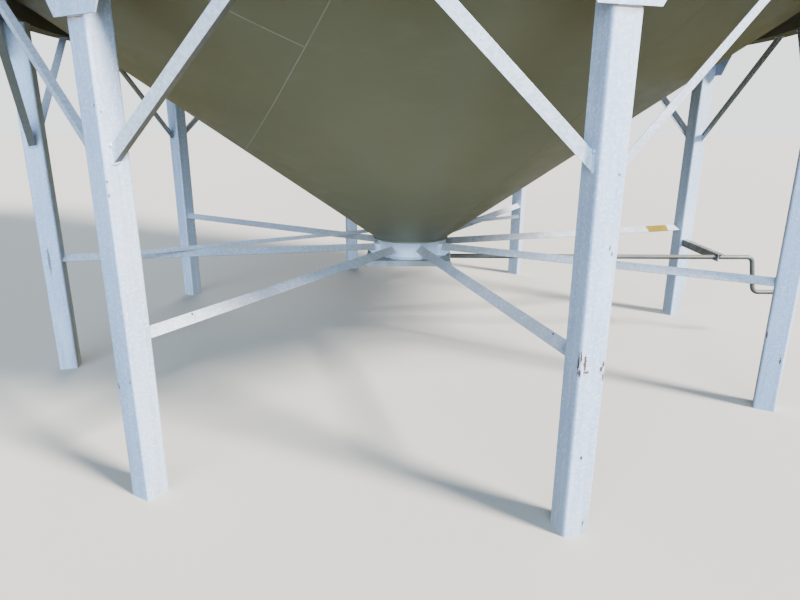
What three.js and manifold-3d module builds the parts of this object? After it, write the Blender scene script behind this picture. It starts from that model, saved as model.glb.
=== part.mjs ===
// Hopper-bottom grain silo, 14 ft across, on eight square legs. Millimetres, +Z up.
// The origin is on the silo's axis at the level of the floor that the legs stand on.
// +X is the side that the gate opens to, where the crank comes out between leg_1 and leg_8.
import * as THREE from 'three';
import { mergeVertices } from 'three/addons/utils/BufferGeometryUtils.js';
import Module from 'manifold-3d';

const wasm = await Module();
wasm.setup();

const FIT = 0.3; // gap between pieces that touch
const ROUND = 96; // flats around the shell, cone, ring and roof

// Legs: 4 in square tube on a 14 ft circle, one every 45 degrees.
const LEGS = 8;
const LEG_STEP = (2 * Math.PI) / LEGS;
const LEG_TURN = THREE.MathUtils.degToRad(15.15); // leg_1 from +X
const LEG_CIRCLE = 2133.6;
const LEG_WIDTH = 101.6;
const LEG_CORNER = 11;
const LEG_INNER = LEG_CIRCLE - LEG_WIDTH / 2;
const LEG_OUTER = LEG_CIRCLE + LEG_WIDTH / 2;

// Ring beam on top of the legs, and the 35 degree cone that hangs inside it.
const RING_LOW = 1910;
const RING_TOP = 2031;
const RING_INNER = 2083.4;
const RING_OUTER = LEG_OUTER - 1;
const CONE_SLOPE = Math.tan(THREE.MathUtils.degToRad(35));
const CONE_APEX = 541; // height at which the cone's sides would meet
const CONE_PLATE = 7.3; // thickness measured upright
const CONE_JOINT = 600; // radius where the cone's foot meets its upper part

// Gusset plate over the joint of each leg and the ring.
const GUSSET = { low: 1744, top: 2016, lowHalf: 104, topHalf: 215, slopeTop: 1936, plate: 6 };

// Knee braces: angle iron, 45 degrees up from each side of a leg to the ring. outer is the width of
// the flange that faces out, inward that of the other one. reach is in degrees round the ring.
// The heel, on the leg's side face, is the bottom edge of a left brace and the top edge of a right one.
const BRACE = { outer: 44.5, inward: 28, plate: 5, footRadius: 2154, topRadius: 2140, reach: 18.5 };
const BRACE_HEEL = { left: 1287, right: 1345 };
// Braces that are seen to differ, by leg and side.
const BRACE_AS_BUILT = {
  'leg_1 right': { outer: 30, inward: 20, reach: 19 },
  'leg_5 left': { inward: 38, topRadius: 2170, reach: 17.6 },
  'leg_5 right': { inward: 44.5, reach: 15.3 },
  'leg_6 left': { reach: 18.7 },
  'leg_6 right': { outer: 24, inward: 31, topRadius: 2172, reach: 18.7, heel: 1328 },
  'leg_7 left': { outer: 31.5, reach: 19.8, heel: 1282 },
  'leg_7 right': { reach: 17.2 },
};

// Ties: 2 in angle, heel up, from each leg's inner face to a lug on the outlet collar.
// heels gives each heel's height at the collar and at the leg, as they were measured.
const TIE = { flange: 50.8, plate: 4.8, inner: 245,
  heels: [[683, 701], [673, 688], [678, 690], [681, 695], [667, 688], [675, 679], [686, 690], [681, 693]] };

// Outlet: a 16 in collar under the cone's rim, a flange round its foot with a lug for each tie, and
// the gate frame below it.
const RIM = { radius: 246, low: 699.5, plate: 6 };
const COLLAR = { outer: 203.2, inner: 197.2, top: 712, flange: 236, flangePlate: 6 };
const LUG = { plate: 6, end: 285 };
const FRAME = { left: -285, right: 250, half: 267, low: 558.5, top: 593, wall: 18, sheet: 4, lip: 40 };
const SLIDE = { plate: 6, sideGap: 5, runGap: 0.8, lug: 8, lugHalf: 35, lugLow: 545, lugTop: 596 };

// Crank rod: 1 in pipe with a hand crank, carried by an angle from leg_1.
const ROD = { radius: 15, height: 570, bendStart: 2262, dropTop: 2290, dropLow: 2320, handleEnd: 2480, handle: 329 };
const ARM = { x: 2040, depth: 50, width: 40, plate: 5, far: 560, near: -32, hole: 17 };

// Loose bar that lies across four of the ties.
const BAR = { flange: 25, plate: 3, offset: 396.4, slope: 0.582, left: -1620, right: 890, restsOn: [3, 4] };

// Shell, roof and lid, which stand above the ring.
const SHELL = { outer: 2136.6, plate: 6, tiers: 3, tier: 1524 };
const ROOF = { eave: 2166, plate: 7.3, mouth: 300 };
const NECK = { plate: 6, below: 14, height: 110 };
const LID = { lap: 6, plate: 6, skirt: 45, rise: 62 };

const PALE_PAINT = { color: 0xc9d2da, roughness: 0.55, metalness: 0.1 };
const GALVANISED = { color: 0xaab0b8, roughness: 0.45, metalness: 0.7 };
const CONE_PAINT = { color: 0x9a9a86, roughness: 0.6, metalness: 0.05 };
const DARK_STEEL = { color: 0x6a655c, roughness: 0.6, metalness: 0.6 };

const silo = new THREE.Group();

function addPiece(name, geometry, look, parent = silo) {
  const mesh = new THREE.Mesh(geometry, new THREE.MeshStandardMaterial(look));
  mesh.name = name;
  parent.add(mesh);
  return mesh;
}

// A closed geometry as a solid, and back again.
function solidOf(geometry) {
  const bare = geometry.index ? geometry.toNonIndexed() : geometry.clone();
  bare.deleteAttribute('normal');
  bare.deleteAttribute('uv');
  const merged = mergeVertices(bare, 1e-4);
  const vertProperties = new Float32Array(merged.attributes.position.array);
  const triVerts = new Uint32Array(merged.index.array);
  return new wasm.Manifold(new wasm.Mesh({ numProp: 3, vertProperties, triVerts }));
}

function geometryOf(solid) {
  const mesh = solid.getMesh();
  const geometry = new THREE.BufferGeometry();
  geometry.setAttribute('position', new THREE.BufferAttribute(new Float32Array(mesh.vertProperties), 3));
  geometry.setIndex(new THREE.BufferAttribute(new Uint32Array(mesh.triVerts), 1));
  geometry.computeVertexNormals();
  return geometry;
}

function boxBetween(low, high) {
  const size = new THREE.Vector3(...high).sub(new THREE.Vector3(...low));
  const middle = new THREE.Vector3(...low).add(new THREE.Vector3(...high)).multiplyScalar(0.5);
  return new THREE.BoxGeometry(size.x, size.y, size.z).translate(middle.x, middle.y, middle.z);
}

// A body turned about the silo's axis, from its outline in [radius, height].
function turned(outline, flats = ROUND) {
  const closed = [...outline, outline[0]].map(([radius, height]) => new THREE.Vector2(radius, height));
  return new THREE.LatheGeometry(closed, flats).rotateX(Math.PI / 2);
}

function coneHeight(radius) {
  return CONE_APEX + CONE_SLOPE * radius;
}

// A leg's own frame: x runs outward from the silo's axis, y runs anticlockwise.
function legFrame(index) {
  return new THREE.Matrix4().makeRotationZ(LEG_TURN + index * LEG_STEP);
}

function plateShape(points) {
  return new THREE.Shape(points.map(([x, y]) => new THREE.Vector2(x, y)));
}

function tubeShape(width, corner) {
  const half = width / 2;
  const inner = half - corner;
  const shape = new THREE.Shape();
  shape.moveTo(half, -inner);
  shape.lineTo(half, inner);
  shape.absarc(inner, inner, corner, 0, Math.PI / 2);
  shape.lineTo(-inner, half);
  shape.absarc(-inner, inner, corner, Math.PI / 2, Math.PI);
  shape.lineTo(-half, -inner);
  shape.absarc(-inner, -inner, corner, Math.PI, 1.5 * Math.PI);
  shape.lineTo(inner, -half);
  shape.absarc(inner, -inner, corner, 1.5 * Math.PI, 2 * Math.PI);
  return shape;
}

// An upright plate outline drawn in [across, height], given a thickness outward from x.
function uprightPlate(points, x, thickness) {
  const flat = new THREE.ExtrudeGeometry(plateShape(points), { depth: thickness, bevelEnabled: false });
  const stand = new THREE.Matrix4().makeBasis(
    new THREE.Vector3(0, 1, 0), new THREE.Vector3(0, 0, 1), new THREE.Vector3(1, 0, 0));
  return flat.applyMatrix4(stand).translate(x, 0, 0);
}

function legGeometry() {
  const tube = new THREE.ExtrudeGeometry(tubeShape(LEG_WIDTH, LEG_CORNER),
    { depth: RING_LOW - FIT, bevelEnabled: false, curveSegments: 3 }).translate(LEG_CIRCLE, 0, 0);
  const { low, top, lowHalf, topHalf, slopeTop, plate } = GUSSET;
  const outline = [[-lowHalf, low], [lowHalf, low], [topHalf, slopeTop], [topHalf, top],
    [-topHalf, top], [-topHalf, slopeTop]];
  const bite = 0.5;
  const gusset = uprightPlate(outline, LEG_OUTER - bite, plate + bite);
  return geometryOf(solidOf(tube).add(solidOf(gusset)));
}

function addLegs() {
  const shape = legGeometry();
  for (let index = 0; index < LEGS; index += 1) {
    const leg = addPiece(`leg_${index + 1}`, shape, PALE_PAINT);
    leg.applyMatrix4(legFrame(index));
  }
}

// Angle iron with its heel at 0, 0 and its flanges along x and y.
function angleShape(alongX, alongY, plate) {
  return plateShape([[0, 0], [alongX, 0], [alongX, plate], [plate, plate], [plate, alongY], [0, alongY]]);
}

// One knee brace in its leg's frame. side is 1 anticlockwise of the leg, seen from above, or -1.
function braceGeometry(side, build) {
  const reach = THREE.MathUtils.degToRad(build.reach);
  const foot = new THREE.Vector3(build.footRadius, side * LEG_WIDTH / 2, build.heel);
  const head = new THREE.Vector3(build.topRadius * Math.cos(reach),
    side * build.topRadius * Math.sin(reach), RING_LOW);
  const along = head.clone().sub(foot).normalize();
  const inward = new THREE.Vector3(-along.y * side, along.x * side, 0).normalize();
  const lift = new THREE.Vector3().crossVectors(along, inward).normalize();
  const spare = 90;
  const length = foot.distanceTo(head) + 2 * spare;
  // lift points up the outer flange from the heel: up on a left brace, down on a right one.
  const basis = new THREE.Matrix4().makeBasis(inward, lift, along);
  const swap = basis.determinant() < 0;
  if (swap) basis.makeBasis(lift, inward, along);
  const section = swap ? angleShape(build.outer, build.inward, build.plate)
    : angleShape(build.inward, build.outer, build.plate);
  const bar = new THREE.ExtrudeGeometry(section, { depth: length, bevelEnabled: false });
  bar.applyMatrix4(basis.setPosition(foot.clone().addScaledVector(along, -spare)));
  const inside = LEG_WIDTH / 2 + FIT;
  const far = build.topRadius * 2;
  const room = boxBetween([0, side > 0 ? inside : -far, 0], [far, side > 0 ? far : -inside, RING_LOW - FIT]);
  return geometryOf(solidOf(bar).intersect(solidOf(room)));
}

function addBraces() {
  for (let index = 0; index < LEGS; index += 1) {
    const leg = `leg_${index + 1}`;
    for (const [label, side] of [['left', 1], ['right', -1]]) {
      const build = { ...BRACE, heel: BRACE_HEEL[label], ...BRACE_AS_BUILT[`${leg} ${label}`] };
      const brace = addPiece(`knee_brace_${index + 1}_${label}`, braceGeometry(side, build), GALVANISED);
      brace.applyMatrix4(legFrame(index));
    }
  }
}

// A tie in its leg's frame: angle iron with its heel up and its flanges sloping down at 45 degrees.
function tieGeometry([heelIn, heelOut]) {
  const from = new THREE.Vector3(TIE.inner, 0, heelIn);
  const to = new THREE.Vector3(LEG_INNER - FIT, 0, heelOut);
  const along = to.clone().sub(from).normalize();
  const spare = 60;
  const fold = Math.SQRT1_2;
  const left = new THREE.Vector3(0, fold, -fold);
  const right = new THREE.Vector3(0, -fold, -fold);
  const bar = new THREE.ExtrudeGeometry(angleShape(TIE.flange, TIE.flange, TIE.plate),
    { depth: from.distanceTo(to) + 2 * spare, bevelEnabled: false });
  bar.applyMatrix4(new THREE.Matrix4().makeBasis(right, left, along)
    .setPosition(from.addScaledVector(along, -spare)));
  const room = boxBetween([TIE.inner, -100, 0], [LEG_INNER - FIT, 100, RING_LOW]);
  return geometryOf(solidOf(bar).intersect(solidOf(room)));
}

function addTies() {
  TIE.heels.forEach((heels, index) => {
    const tie = addPiece(`tie_${index + 1}`, tieGeometry(heels), GALVANISED);
    tie.applyMatrix4(legFrame(index));
  });
}

function addHopper() {
  const seat = (RING_TOP + 0.4 - CONE_APEX) / CONE_SLOPE;
  addPiece('ring_beam', turned([[RING_INNER, RING_LOW], [RING_OUTER, RING_LOW], [RING_OUTER, RING_TOP],
    [seat, RING_TOP], [RING_INNER, coneHeight(RING_INNER) - 0.4]]), PALE_PAINT);
  const mouth = COLLAR.outer + FIT;
  const rim = SHELL.outer - SHELL.plate - 0.4;
  const { radius, low, plate } = RIM;
  const innerFoot = (low + plate - CONE_APEX - CONE_PLATE) / CONE_SLOPE;
  const sheet = (from, to) => [[from, coneHeight(from)], [to, coneHeight(to)],
    [to, coneHeight(to) + CONE_PLATE]];
  addPiece('cone_foot', turned([[mouth, low], [radius, low], ...sheet(radius, CONE_JOINT),
    [innerFoot, low + plate], [mouth, low + plate]]), CONE_PAINT);
  const joint = CONE_JOINT + FIT;
  addPiece('hopper_cone', turned([...sheet(joint, rim), [joint, coneHeight(joint) + CONE_PLATE]]), CONE_PAINT);
}

function addShell() {
  const inner = SHELL.outer - SHELL.plate;
  let foot = RING_TOP + FIT;
  for (let tier = 1; tier <= SHELL.tiers; tier += 1) {
    const top = foot + SHELL.tier;
    addPiece(`shell_tier_${tier}`, turned([[inner, foot], [SHELL.outer, foot], [SHELL.outer, top],
      [inner, top]]), CONE_PAINT);
    foot = top + FIT;
  }
  return foot;
}

function addRoof(seat) {
  const roofHeight = (radius) => seat + (SHELL.outer - radius) * CONE_SLOPE;
  const { mouth, eave, plate } = ROOF;
  const sheet = turned([[mouth, roofHeight(mouth)], [eave, roofHeight(eave)],
    [eave, roofHeight(eave) + plate], [mouth, roofHeight(mouth) + plate]]);
  const neckOuter = mouth + 2;
  const neckLow = roofHeight(mouth) - NECK.below;
  const neckTop = neckLow + NECK.height;
  const neck = turned([[neckOuter - NECK.plate, neckLow], [neckOuter, neckLow],
    [neckOuter, neckTop], [neckOuter - NECK.plate, neckTop]], 48);
  addPiece('roof', geometryOf(solidOf(sheet).add(solidOf(neck))), CONE_PAINT);
  const lidInner = neckOuter + LID.lap;
  const lidOuter = lidInner + LID.plate;
  const under = neckTop + FIT;
  const lid = [[0, under], [0, under + LID.rise], [lidOuter, under + LID.plate],
    [lidOuter, under - LID.skirt], [lidInner, under - LID.skirt], [lidInner, under]];
  addPiece('roof_lid', turned(lid.reverse(), 48), GALVANISED);
}

function addOutlet() {
  const seat = FRAME.top + FIT;
  const { outer, inner, top: collarTop, flange, flangePlate } = COLLAR;
  addPiece('outlet_collar', turned([[inner, seat], [outer, seat], [outer, collarTop], [inner, collarTop]], 64),
    PALE_PAINT);
  const ringInner = outer + FIT;
  const ringTop = seat + flangePlate;
  let ring = solidOf(turned([[ringInner, seat], [flange, seat], [flange, ringTop], [ringInner, ringTop]], 64));
  TIE.heels.forEach(([heelIn], index) => {
    const under = heelIn - TIE.plate * Math.SQRT2 - LUG.plate / 2 - FIT;
    const lug = boxBetween([ringInner + FIT, -LUG.plate / 2, ringTop - 1], [LUG.end, LUG.plate / 2, under]);
    ring = ring.add(solidOf(lug.applyMatrix4(legFrame(index))));
  });
  addPiece('outlet_flange', geometryOf(ring), PALE_PAINT);
  const { left, right, half, low, top, wall, sheet, lip } = FRAME;
  const beyond = 10;
  const channel = boxBetween([left + wall, wall - half, low + sheet], [right + beyond, half - wall, top - sheet]);
  const below = boxBetween([left + lip, lip - half, low - beyond], [right + beyond, half - lip, low + 2 * sheet]);
  const bore = new THREE.CylinderGeometry(COLLAR.inner, COLLAR.inner, 2 * (top - low), 64)
    .rotateX(Math.PI / 2).translate(0, 0, top);
  const frame = solidOf(boxBetween([left, -half, low], [right, half, top]))
    .subtract(solidOf(channel)).subtract(solidOf(below)).subtract(solidOf(bore));
  addPiece('gate_frame', geometryOf(frame), PALE_PAINT);
  const plateLow = low + sheet + SLIDE.runGap;
  const side = half - wall - SLIDE.sideGap;
  const lugStart = right + SLIDE.lug;
  const plate = boxBetween([left + wall + SLIDE.sideGap, -side, plateLow],
    [lugStart + 1, side, plateLow + SLIDE.plate]);
  const lug = boxBetween([lugStart, -SLIDE.lugHalf, SLIDE.lugLow],
    [lugStart + SLIDE.lug, SLIDE.lugHalf, SLIDE.lugTop]);
  addPiece('gate_slide', geometryOf(solidOf(plate).add(solidOf(lug))), GALVANISED);
  return lugStart + SLIDE.lug + FIT;
}

// A round bar through a line of points, with flat ends and mitred turns, in the XZ plane.
function bentBar(points, radius, sides = 12) {
  const vertices = [];
  const index = [];
  points.forEach((point, i) => {
    const before = points[Math.max(i - 1, 0)];
    const after = points[Math.min(i + 1, points.length - 1)];
    const cameIn = point.clone().sub(before).normalize();
    const goesOut = after.clone().sub(point).normalize();
    if (i === 0) cameIn.copy(goesOut);
    if (i === points.length - 1) goesOut.copy(cameIn);
    const tangent = cameIn.clone().add(goesOut).normalize();
    const spread = 1 / tangent.dot(cameIn);
    const across = new THREE.Vector3(-tangent.y, tangent.x, 0);
    for (let side = 0; side < sides; side += 1) {
      const angle = (2 * Math.PI * side) / sides;
      const ring = across.clone().multiplyScalar(Math.cos(angle) * radius * spread);
      vertices.push(point.x + ring.x, Math.sin(angle) * radius, point.y + ring.y);
    }
  });
  for (let ring = 0; ring < points.length - 1; ring += 1) {
    for (let side = 0; side < sides; side += 1) {
      const a = ring * sides + side;
      const b = ring * sides + ((side + 1) % sides);
      index.push(a, a + sides, b, b, a + sides, b + sides);
    }
  }
  const last = (points.length - 1) * sides;
  for (let side = 1; side < sides - 1; side += 1) {
    index.push(0, side, side + 1, last, last + side + 1, last + side);
  }
  const geometry = new THREE.BufferGeometry();
  geometry.setAttribute('position', new THREE.Float32BufferAttribute(vertices, 3));
  geometry.setIndex(index);
  geometry.computeVertexNormals();
  return geometry;
}

function addCrank(start) {
  const corner = (from, by, to) => new THREE.QuadraticBezierCurve(from, by, to).getPoints(5);
  const level = ROD.height;
  const path = [new THREE.Vector2(start, level),
    ...corner(new THREE.Vector2(ROD.bendStart - 16, level), new THREE.Vector2(ROD.dropTop - 4, level),
      new THREE.Vector2(ROD.dropTop + 2, level - 40)),
    ...corner(new THREE.Vector2(ROD.dropLow, ROD.handle + 42), new THREE.Vector2(ROD.dropLow + 7, ROD.handle),
      new THREE.Vector2(ROD.dropLow + 50, ROD.handle)),
    new THREE.Vector2(ROD.handleEnd, ROD.handle)];
  addPiece('crank_rod', bentBar(path, ROD.radius), DARK_STEEL);
  const under = level - ARM.depth / 2;
  const web = boxBetween([ARM.x, ARM.near, under], [ARM.x + ARM.plate, ARM.far, under + ARM.depth]);
  const cap = boxBetween([ARM.x, ARM.near, under + ARM.depth - ARM.plate],
    [ARM.x + ARM.width, ARM.far, under + ARM.depth]);
  const eye = new THREE.CylinderGeometry(ARM.hole, ARM.hole, 4 * ARM.plate, 24)
    .rotateZ(Math.PI / 2).translate(ARM.x, 0, level);
  const legRoom = boxBetween([LEG_INNER - 200, -LEG_WIDTH / 2 - FIT, 0],
    [LEG_OUTER + 200, LEG_WIDTH * 3, RING_LOW]).applyMatrix4(legFrame(0));
  const arm = solidOf(web).add(solidOf(cap)).subtract(solidOf(eye)).subtract(solidOf(legRoom));
  addPiece('rod_bracket', geometryOf(arm), GALVANISED);
}

// Height of a tie's heel where the loose bar's far edge crosses the tie, and x there.
function heelUnderBar(index) {
  const angle = LEG_TURN + index * LEG_STEP;
  const farEdge = BAR.offset + BAR.flange * Math.hypot(1, BAR.slope);
  const radius = farEdge / (Math.sin(angle) - BAR.slope * Math.cos(angle));
  const [heelIn, heelOut] = TIE.heels[index];
  const rise = (heelOut - heelIn) / (LEG_INNER - FIT - TIE.inner);
  return { x: radius * Math.cos(angle), height: heelIn + (radius - TIE.inner) * rise };
}

function addLooseBar() {
  const [first, second] = BAR.restsOn.map(heelUnderBar);
  const tilt = (second.height - first.height) / (second.x - first.x);
  const [from, to] = [BAR.left, BAR.right].map((x) => new THREE.Vector3(x, BAR.offset + BAR.slope * x,
    first.height + (x - first.x) * tilt + FIT));
  const along = to.clone().sub(from);
  const bar = new THREE.ExtrudeGeometry(angleShape(BAR.flange, BAR.flange, BAR.plate),
    { depth: along.length(), bevelEnabled: false });
  along.normalize();
  const back = new THREE.Vector3(-along.y, along.x, 0).normalize();
  const up = new THREE.Vector3().crossVectors(along, back);
  bar.applyMatrix4(new THREE.Matrix4().makeBasis(back, up, along).setPosition(from));
  addPiece('loose_bar', bar, GALVANISED);
}

addLegs();
addBraces();
addTies();
addHopper();
addRoof(addShell());
addCrank(addOutlet());
addLooseBar();

export default silo;
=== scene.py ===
# A hopper-bottom grain silo, 14 ft across, on eight square legs. Metres, +Z up.
# The solids come in as a fixed frame, and each section below makes one kind of piece around them.
import math
import random

import bmesh
import bpy
from mathutils import Matrix, Vector


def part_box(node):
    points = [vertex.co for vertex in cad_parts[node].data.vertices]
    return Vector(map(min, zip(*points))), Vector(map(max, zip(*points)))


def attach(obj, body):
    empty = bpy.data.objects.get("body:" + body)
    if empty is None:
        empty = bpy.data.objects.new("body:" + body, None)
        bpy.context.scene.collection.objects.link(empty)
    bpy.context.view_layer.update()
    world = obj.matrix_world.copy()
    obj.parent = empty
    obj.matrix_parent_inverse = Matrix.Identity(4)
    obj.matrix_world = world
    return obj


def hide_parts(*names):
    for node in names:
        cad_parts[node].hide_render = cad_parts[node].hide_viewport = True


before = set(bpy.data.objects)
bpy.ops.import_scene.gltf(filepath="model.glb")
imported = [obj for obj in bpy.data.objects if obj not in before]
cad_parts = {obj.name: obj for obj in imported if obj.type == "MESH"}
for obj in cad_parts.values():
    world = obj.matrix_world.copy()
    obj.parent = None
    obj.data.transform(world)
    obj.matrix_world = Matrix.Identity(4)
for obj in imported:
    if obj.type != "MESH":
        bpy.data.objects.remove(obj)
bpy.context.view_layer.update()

# Legs: 4 in square steel tube with rolled corners, one every 45 degrees on a 14 ft circle.
# They are cut square at the foot, painted pale grey-blue, and welded up under the ring beam.
LEG_COUNT = 8
LEG_STEP = math.tau / LEG_COUNT
LEG_TURN = math.radians(15.15)
LEG_CIRCLE = 2.1336
LEG_WIDTH = 0.1016
LEG_CORNER = 0.0115
LEG_INNER = LEG_CIRCLE - LEG_WIDTH / 2
LEG_OUTER = LEG_CIRCLE + LEG_WIDTH / 2
RING_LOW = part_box("ring_beam")[0].z
RING_OUTER = LEG_OUTER - 0.001
RING_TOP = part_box("ring_beam")[1].z
FIT = 0.0003  # left between pieces that touch


def tone(red, green, blue):
    """A colour as it looks on a screen, 0 to 255, as the shader's linear values."""
    linear = [((c / 255 + 0.055) / 1.055) ** 2.4 if c > 10 else c / 3294.6 for c in (red, green, blue)]
    return (*linear, 1.0)


def add_node(tree, kind, result, inputs, **settings):
    """Adds a node, sets or wires its inputs, and gives the socket that carries its result."""
    node = tree.nodes.new("ShaderNode" + kind)
    for setting, value in settings.items():
        setattr(node, setting, value)
    for socket, value in inputs.items():
        if isinstance(value, bpy.types.NodeSocket):
            tree.links.new(value, node.inputs[socket])
        else:
            node.inputs[socket].default_value = value
    return node.outputs[result]


class Coat:
    """A finish made of nodes. Each method adds nodes and gives the socket that carries their result."""

    def __init__(self, name, metallic=0.0, specular=0.5):
        self.material = bpy.data.materials.new(name)
        self.material.use_nodes = True
        self.tree = self.material.node_tree
        self.shader = self.tree.nodes["Principled BSDF"]
        self.shader.inputs["Metallic"].default_value = metallic
        self.shader.inputs["Specular IOR Level"].default_value = specular
        self.place = self.add("TexCoord", "Object", {})

    def add(self, kind, result, inputs, **settings):
        return add_node(self.tree, kind, result, inputs, **settings)

    def stretched(self, x, y, z):
        """The place on the piece, scaled along each axis."""
        return self.add("Mapping", 0, {"Vector": self.place, "Scale": (x, y, z)})

    def cloud(self, scale, detail=4.0, rough=0.55, place=None):
        """Noise that lies mostly between 0.3 and 0.7."""
        inputs = {"Vector": place or self.place, "Scale": scale, "Detail": detail, "Roughness": rough}
        return self.add("TexNoise", "Fac", inputs)

    def grade(self, factor, low, high, start=0.0, end=1.0):
        """Runs smoothly from start, where factor is low, to end, where it is high."""
        inputs = {"Value": factor, "From Min": low, "From Max": high, "To Min": start, "To Max": end}
        return self.add("MapRange", 0, inputs, interpolation_type="SMOOTHSTEP")

    def calc(self, operation, first, second):
        return self.add("Math", 0, {0: first, 1: second}, operation=operation)

    def vector(self, operation, *inputs, result=0):
        return self.add("VectorMath", result, dict(enumerate(inputs)), operation=operation)

    def mix(self, factor, first, second):
        """The first colour where factor is 0 and the second where it is 1."""
        return self.add("Mix", 2, {0: factor, 6: first, 7: second}, data_type="RGBA")

    def axis(self, letter):
        return self.add("SeparateXYZ", letter, {0: self.place})

    def radius(self):
        """Distance from the silo's axis."""
        return self.vector("LENGTH", self.stretched(1, 1, 0), result="Value")

    def marks(self, places, ragged=0.5):
        """A mask that is 1 inside small marks, each given as its place and its half sizes."""
        wander = self.add("TexNoise", "Color", {"Vector": self.place, "Scale": 210.0, "Detail": 3.0})
        wander = self.vector("SUBTRACT", wander, (0.5, 0.5, 0.5))
        mask = None
        for place, size in places:
            off = self.vector("DIVIDE", self.vector("SUBTRACT", self.place, place), size)
            off = self.vector("MULTIPLY_ADD", wander, (ragged * 4,) * 3, off)
            inside = self.grade(self.vector("LENGTH", off, result="Value"), 1.05, 0.8)
            mask = inside if mask is None else self.calc("MAXIMUM", mask, inside)
        return mask

    def finish(self, colour, roughness, height, depth=0.0003):
        """Wires the results to the shader, with height as a relief this deep, and gives the material."""
        bump = self.add("Bump", 0, {"Height": height, "Distance": depth, "Strength": 1.0})
        for socket, value in (("Base Color", colour), ("Roughness", roughness), ("Normal", bump)):
            self.tree.links.new(value, self.shader.inputs[socket])
        return self.material


def leg_frame(index):
    """From a leg's own frame, x outward from the silo's axis and y anticlockwise, to the silo's."""
    return Matrix.Rotation(LEG_TURN + index * LEG_STEP, 4, "Z")


def rounded(corners, radii, steps=3):
    """A closed outline with each corner rounded to its own radius."""
    outline = []
    for i, radius in enumerate(radii):
        here = Vector(corners[i])
        back = (Vector(corners[i - 1]) - here).normalized()
        ahead = (Vector(corners[(i + 1) % len(corners)]) - here).normalized()
        half = back.angle(ahead) / 2
        centre = here + (back + ahead).normalized() * (radius / math.sin(half))
        first = here + back * (radius / math.tan(half)) - centre
        last = here + ahead * (radius / math.tan(half)) - centre
        turn = math.atan2(first.x * last.y - first.y * last.x, first.dot(last))
        for step in range(steps + 1):
            outline.append(centre + Matrix.Rotation(turn * step / steps, 2) @ first)
    return outline


def rectangle(low, high, radii, steps=2):
    """A rectangle between two corners, rounded, anticlockwise from the low corner."""
    return rounded([(low[0], low[1]), (high[0], low[1]), (high[0], high[1]), (low[0], high[1])], radii, steps)


def circle(sides):
    """Cosine and sine at equal steps round a circle."""
    return [(math.cos(math.tau * k / sides), math.sin(math.tau * k / sides)) for k in range(sides)]


def facing_out(x):
    """Stands an outline upright across X, this far out, with its thickness outward."""
    return Matrix(((0, 0, 1, x), (1, 0, 0, 0), (0, 1, 0, 0), (0, 0, 0, 1)))


def skin(shape, rings, loop=False):
    """Adds the surface through rings of points to shape, a pair of lists of points and faces."""
    points, faces = shape
    start, count = len(points), len(rings[0])
    for ring in rings:
        points.extend(ring)
    for r in range(len(rings) if loop else len(rings) - 1):
        near, far = start + r * count, start + (r + 1) % len(rings) * count
        for i in range(count):
            faces.append((near + i, near + (i + 1) % count, far + (i + 1) % count, far + i))
    if not loop:
        faces.append(tuple(range(start, start + count)))
        faces.append(tuple(range(start + (len(rings) - 1) * count, start + len(rings) * count)))


def bar(shape, outline, origin, across, up, first_cut, last_cut):
    """A rolled bar whose outline is drawn on across and up from origin, cut off by two planes."""
    along = across.cross(up)
    rings = []
    for point, normal in (first_cut, last_cut):
        ring = [origin + across * u + up * v for u, v in outline]
        rings.append([p + along * ((point - p).dot(normal) / along.dot(normal)) for p in ring])
    skin(shape, rings)
    return rings


def plate(shape, outline, place, thickness, edge=0.0008):
    """A flame-cut plate: outline in its own x and y, thick along its z, with its edges eased."""
    middle = sum((Vector(p) for p in outline), Vector((0, 0))) / len(outline)
    rings = []
    for inward, height in ((edge, 0), (0, edge), (0, thickness - edge), (edge, thickness)):
        ring = []
        for p in outline:
            flat = Vector(p) - middle
            flat = middle + flat * (1 - inward / flat.length)
            ring.append(place @ Vector((flat.x, flat.y, height)))
        rings.append(ring)
    skin(shape, rings)


def trace(points, pitch, loop=False):
    """Points about one pitch apart along a line of points."""
    corners = [Vector(p) for p in points] + ([Vector(points[0])] if loop else [])
    lengths = [(b - a).length for a, b in zip(corners, corners[1:])]
    count = max(3, round(sum(lengths) / pitch))
    line, done, leg = [], 0.0, 0
    for i in range(count if loop else count + 1):
        along = sum(lengths) * i / count
        while leg < len(lengths) - 1 and along > done + lengths[leg]:
            done += lengths[leg]
            leg += 1
        line.append(corners[leg].lerp(corners[leg + 1], min(1.0, (along - done) / lengths[leg])))
    return line


chance = random.Random(14)
BEAD_SIDES = 6


def bead(shape, path, outward, width, height, pitch=0.005, loop=False):
    """Lays a weld along path. outward is the direction away from the plate, or a function of the place."""
    line = trace(path, pitch, loop)
    rings = []
    for i, here in enumerate(line):
        ahead = line[(i + 1) % len(line)] if loop or i + 1 < len(line) else here
        back = line[i - 1] if loop or i else here
        up = outward(here) if callable(outward) else outward
        side = (ahead - back).cross(up).normalized()
        swell = chance.uniform(0.86, 1.1) if loop or 0 < i < len(line) - 1 else 0.45
        rings.append([here + (side * (c * width / 2) + up * (s * height)) * swell
                      for c, s in circle(BEAD_SIDES)])
    skin(shape, rings, loop)


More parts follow.
